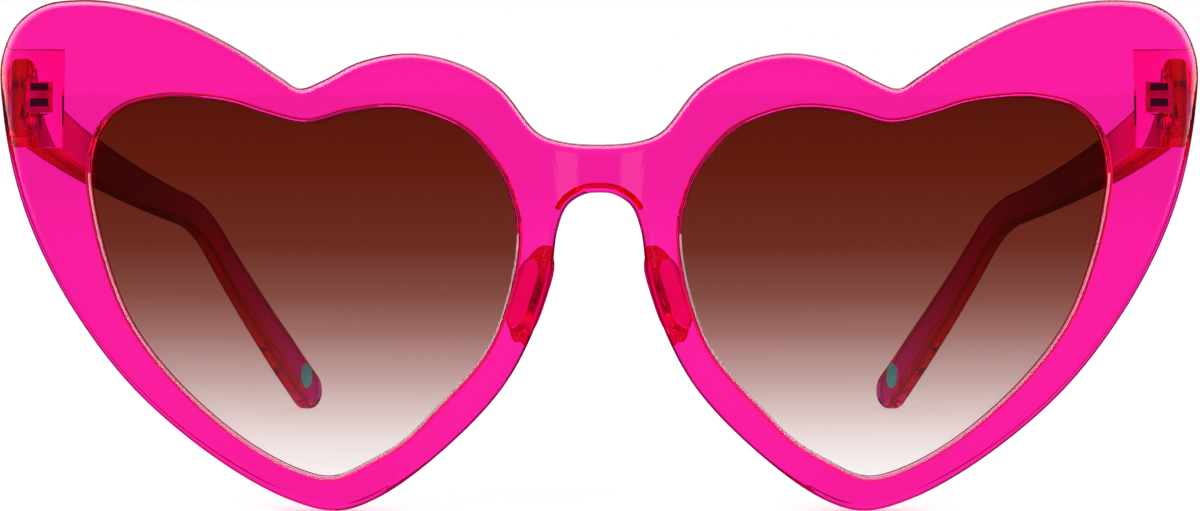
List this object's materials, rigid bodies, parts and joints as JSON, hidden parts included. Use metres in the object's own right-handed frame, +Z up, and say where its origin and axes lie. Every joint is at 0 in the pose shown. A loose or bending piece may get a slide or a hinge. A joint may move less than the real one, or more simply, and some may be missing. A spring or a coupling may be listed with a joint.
{
  "type": "sunglasses",
  "caption": "Heart shaped sunglasses: a clear pink plastic front with brown gradient lenses, nose pads and bowed temples that fold on small metal hinges.",
  "frame": {"origin": "on the surface that the sunglasses stand on, under the middle of their bounding box", "axes": "+Z up, +X towards the wearer's left, -Y towards the front faces of the lenses, so the open temples run back along +Y; the sunglasses stand on both heart points and both temple tips"},
  "size_m": [0.15, 0.142, 0.0632],
  "materials": {
    "front_plastic": "polished clear hot pink injection moulded plastic",
    "pad_plastic": "polished clear pink plastic",
    "temple_plastic": "polished clear pink plastic, crimson where it is seen along its length",
    "lens": "brown gradient tint, dark at the top and nearly clear at the bottom",
    "hinge_metal": "stamped nickel silver",
    "screw_metal": "polished steel",
    "disc_metal": "plain satin blue green disc"
  },
  "bodies": {
    "front": {"front_frame": "front_plastic", "lens_left": "lens", "lens_right": "lens", "nose_pad_left": "pad_plastic", "nose_pad_right": "pad_plastic", "front_hinge_left": "hinge_metal", "front_hinge_right": "hinge_metal", "hinge_screw_left": "screw_metal", "hinge_screw_right": "screw_metal"},
    "temple_arm_left": {"temple_left": "temple_plastic", "temple_hinge_left": "hinge_metal", "tip_disc_left": "disc_metal"},
    "temple_arm_right": {"temple_right": "temple_plastic", "temple_hinge_right": "hinge_metal", "tip_disc_right": "disc_metal"}
  },
  "joints": [
    {"name": "temple_fold_left", "type": "hinge", "parent": "front", "child": "temple_arm_left", "pos_m": [0.0699, -0.05318, 0.05042], "axis": [0, 0.1759, 0.9844], "range_deg": [0, 77]},
    {"name": "temple_fold_right", "type": "hinge", "parent": "front", "child": "temple_arm_right", "pos_m": [-0.0699, -0.05318, 0.05042], "axis": [0, -0.1759, -0.9844], "range_deg": [0, 70]}
  ]
}
